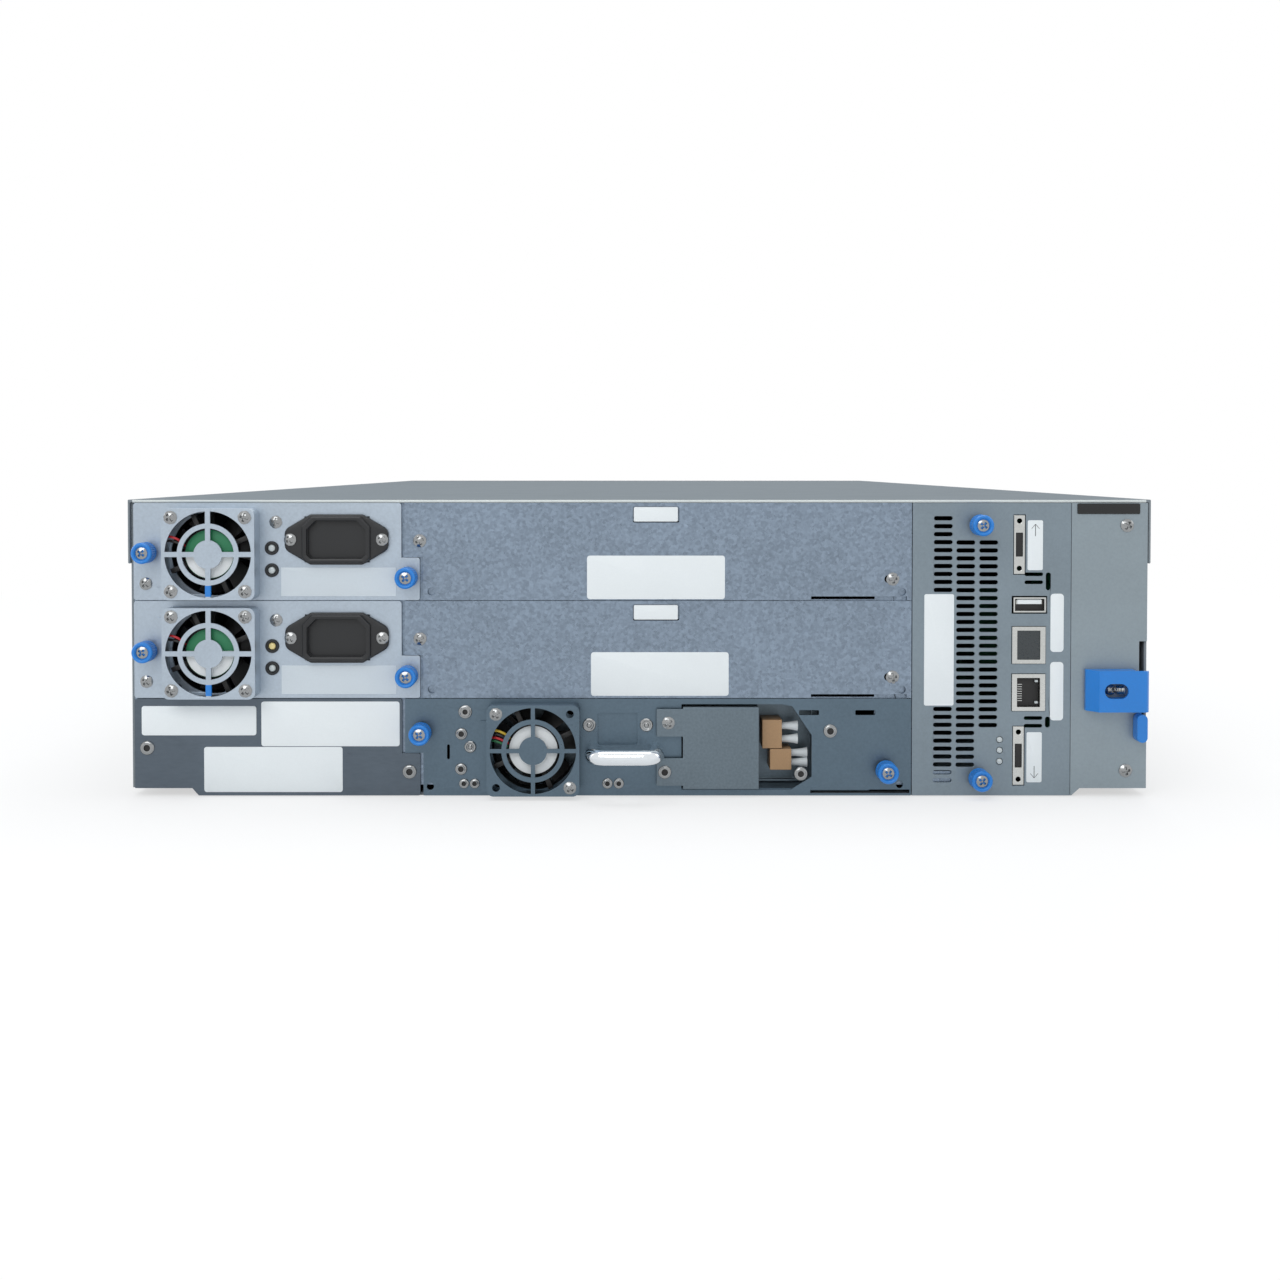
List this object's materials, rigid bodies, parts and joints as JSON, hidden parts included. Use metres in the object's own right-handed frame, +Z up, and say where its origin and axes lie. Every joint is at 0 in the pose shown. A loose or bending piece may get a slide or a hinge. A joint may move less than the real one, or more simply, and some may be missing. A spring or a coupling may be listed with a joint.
{
  "type": "data tape library",
  "caption": "Rack-mount data tape library with pull-out power supplies, drive sled and controller, sliding cartridge magazines and a cartridge robot.",
  "frame": {"origin": "centre of the overall box's footprint, on the underside", "axes": "+Z up, -Y out of the rear panels, +Y out of the front bezel, +X to the right seen from the rear"},
  "size_m": [0.4826, 0.8832, 0.1302],
  "materials": {
    "painted_steel": "satin grey paint",
    "zinc_sheet": "spangled zinc sheet",
    "pale_plate": "bright passivated sheet",
    "dark_plate": "dark grey satin",
    "sled_steel": "blue-grey passivated sheet",
    "nickel": "nickel-plated fasteners",
    "handle_chrome": "polished plating",
    "touch_blue": "blue moulded plastic",
    "black_plastic": "black moulded plastic",
    "bezel_plastic": "fine textured charcoal plastic",
    "button_grey": "smooth grey plastic",
    "display_glass": "dark clear window",
    "circuit_board": "green solder mask",
    "port_tan": "tan moulded plastic",
    "plug_white": "soft white plastic",
    "port_metal": "tinned shells",
    "magazine_plastic": "grey moulded plastic",
    "robot_alloy": "machined alloy",
    "spring_steel": "bright wire"
  },
  "bodies": {
    "chassis": {"base_tray": "painted_steel", "top_cover": "painted_steel", "rear_frame": "zinc_sheet", "product_plate": "dark_plate", "latch_plate": "painted_steel", "bay_cover_1": "zinc_sheet", "bay_cover_2": "zinc_sheet", "plate_fasteners": "nickel", "latch_spring": "spring_steel", "front_bezel": "bezel_plastic", "display_window": "display_glass", "rack_ears": "painted_steel", "robot_rails": "robot_alloy", "power_backplane": "circuit_board"},
    "lock": {"lock_block": "touch_blue"},
    "lever": {"alignment_lever": "touch_blue"},
    "previous_button": {"button_previous": "button_grey"},
    "next_button": {"button_next": "button_grey"},
    "enter_button": {"button_enter": "button_grey"},
    "back_button": {"button_back": "button_grey"},
    "power": {"power_button": "button_grey"},
    "psu_1": {"psu_1_case": "pale_plate", "psu_1_guard": "pale_plate", "psu_1_fan_frame": "black_plastic", "psu_1_inlet": "black_plastic", "psu_1_screws": "nickel"},
    "psu_1_fan": {"psu_1_fan_rotor": "black_plastic"},
    "psu_1_left_screw": {"psu_1_knob_left": "touch_blue"},
    "psu_1_right_screw": {"psu_1_knob_right": "touch_blue"},
    "psu_2": {"psu_2_case": "pale_plate", "psu_2_guard": "pale_plate", "psu_2_fan_frame": "black_plastic", "psu_2_inlet": "black_plastic", "psu_2_screws": "nickel"},
    "psu_2_fan": {"psu_2_fan_rotor": "black_plastic"},
    "psu_2_left_screw": {"psu_2_knob_left": "touch_blue"},
    "psu_2_right_screw": {"psu_2_knob_right": "touch_blue"},
    "sled": {"sled_tray": "sled_steel", "sled_guard": "sled_steel", "sled_fan_frame": "black_plastic", "sled_handle": "handle_chrome", "tape_drive": "sled_steel", "fibre_ports": "port_tan", "dust_plugs": "plug_white", "sled_fasteners": "nickel"},
    "sled_fan": {"sled_fan_rotor": "black_plastic"},
    "sled_left_screw": {"sled_knob_left": "touch_blue"},
    "sled_right_screw": {"sled_knob_right": "touch_blue"},
    "controller": {"controller_tray": "painted_steel", "controller_board": "circuit_board", "controller_ports": "port_metal"},
    "controller_top_screw": {"controller_knob_top": "touch_blue"},
    "controller_bottom_screw": {"controller_knob_bottom": "touch_blue"},
    "left_rack": {"left_magazine": "magazine_plastic"},
    "right_rack": {"right_magazine": "magazine_plastic"},
    "mail": {"mail_station": "magazine_plastic"},
    "carriage": {"robot_carriage": "robot_alloy"},
    "lift": {"robot_lift": "robot_alloy"},
    "gripper": {"robot_gripper": "robot_alloy"},
    "picker": {"robot_picker": "black_plastic"}
  },
  "joints": [
    {"name": "psu_1_slide", "type": "slide", "parent": "chassis", "child": "psu_1", "axis": [0, -1, 0], "range_m": [0, 0.195]},
    {"name": "psu_1_fan_spin", "type": "hinge", "parent": "psu_1", "child": "psu_1_fan", "pos_m": [-0.1864, -0.4146, 0.1067], "axis": [0, 1, 0], "continuous": true},
    {"name": "psu_1_left_screw_turn", "type": "hinge", "parent": "psu_1", "child": "psu_1_left_screw", "pos_m": [-0.215, -0.4246, 0.1072], "axis": [0, 1, 0], "continuous": true},
    {"name": "psu_1_right_screw_turn", "type": "hinge", "parent": "psu_1", "child": "psu_1_right_screw", "pos_m": [-0.1012, -0.4246, 0.0964], "axis": [0, 1, 0], "continuous": true},
    {"name": "psu_2_slide", "type": "slide", "parent": "chassis", "child": "psu_2", "axis": [0, -1, 0], "range_m": [0, 0.195]},
    {"name": "psu_2_fan_spin", "type": "hinge", "parent": "psu_2", "child": "psu_2_fan", "pos_m": [-0.1864, -0.4146, 0.0637], "axis": [0, 1, 0], "continuous": true},
    {"name": "psu_2_left_screw_turn", "type": "hinge", "parent": "psu_2", "child": "psu_2_left_screw", "pos_m": [-0.215, -0.4246, 0.0642], "axis": [0, 1, 0], "continuous": true},
    {"name": "psu_2_right_screw_turn", "type": "hinge", "parent": "psu_2", "child": "psu_2_right_screw", "pos_m": [-0.1012, -0.4246, 0.0534], "axis": [0, 1, 0], "continuous": true},
    {"name": "sled_slide", "type": "slide", "parent": "chassis", "child": "sled", "axis": [0, -1, 0], "range_m": [0, 0.3]},
    {"name": "sled_fan_spin", "type": "hinge", "parent": "sled", "child": "sled_fan", "pos_m": [-0.0461, -0.4146, 0.0215], "axis": [0, 1, 0], "continuous": true},
    {"name": "sled_left_screw_turn", "type": "hinge", "parent": "sled", "child": "sled_left_screw", "pos_m": [-0.0954, -0.4246, 0.0284], "axis": [0, 1, 0], "continuous": true},
    {"name": "sled_right_screw_turn", "type": "hinge", "parent": "sled", "child": "sled_right_screw", "pos_m": [0.1079, -0.4246, 0.0117], "axis": [0, 1, 0], "continuous": true},
    {"name": "controller_slide", "type": "slide", "parent": "chassis", "child": "controller", "axis": [0, -1, 0], "range_m": [0, 0.23]},
    {"name": "controller_top_screw_turn", "type": "hinge", "parent": "controller", "child": "controller_top_screw", "pos_m": [0.1485, -0.4246, 0.1192], "axis": [0, 1, 0], "continuous": true},
    {"name": "controller_bottom_screw_turn", "type": "hinge", "parent": "controller", "child": "controller_bottom_screw", "pos_m": [0.1485, -0.4246, 0.0083], "axis": [0, 1, 0], "continuous": true},
    {"name": "lock_slide", "type": "slide", "parent": "chassis", "child": "lock", "axis": [-1, 0, 0], "range_m": [0, 0.004], "stiffness_N_per_m": 400},
    {"name": "lever_slide", "type": "slide", "parent": "chassis", "child": "lever", "axis": [0, 0, 1], "range_m": [0, 0.031]},
    {"name": "left_magazine_slide", "type": "slide", "parent": "chassis", "child": "left_rack", "axis": [0, 1, 0], "range_m": [0, 0.42]},
    {"name": "mail_station_slide", "type": "slide", "parent": "left_rack", "child": "mail", "axis": [0, 1, 0], "range_m": [0, 0.115]},
    {"name": "right_magazine_slide", "type": "slide", "parent": "chassis", "child": "right_rack", "axis": [0, 1, 0], "range_m": [0, 0.42]},
    {"name": "robot_travel", "type": "slide", "parent": "chassis", "child": "carriage", "axis": [0, -1, 0], "range_m": [0, 0.32]},
    {"name": "robot_rise", "type": "slide", "parent": "carriage", "child": "lift", "axis": [0, 0, 1], "range_m": [0, 0.078]},
    {"name": "robot_turn", "type": "hinge", "parent": "lift", "child": "gripper", "pos_m": [0, 0.2984, 0.018], "axis": [0, 0, 1], "range_deg": [-90, 90]},
    {"name": "robot_reach", "type": "slide", "parent": "gripper", "child": "picker", "axis": [0, -1, 0], "range_m": [0, 0.022]},
    {"name": "previous_press", "type": "slide", "parent": "chassis", "child": "previous_button", "axis": [0, -1, 0], "range_m": [0, 0.0008], "stiffness_N_per_m": 400},
    {"name": "next_press", "type": "slide", "parent": "chassis", "child": "next_button", "axis": [0, -1, 0], "range_m": [0, 0.0008], "stiffness_N_per_m": 400},
    {"name": "enter_press", "type": "slide", "parent": "chassis", "child": "enter_button", "axis": [0, -1, 0], "range_m": [0, 0.0008], "stiffness_N_per_m": 400},
    {"name": "back_press", "type": "slide", "parent": "chassis", "child": "back_button", "axis": [0, -1, 0], "range_m": [0, 0.0008], "stiffness_N_per_m": 400},
    {"name": "power_press", "type": "slide", "parent": "chassis", "child": "power", "axis": [0, -1, 0], "range_m": [0, 0.0008], "stiffness_N_per_m": 400}
  ]
}
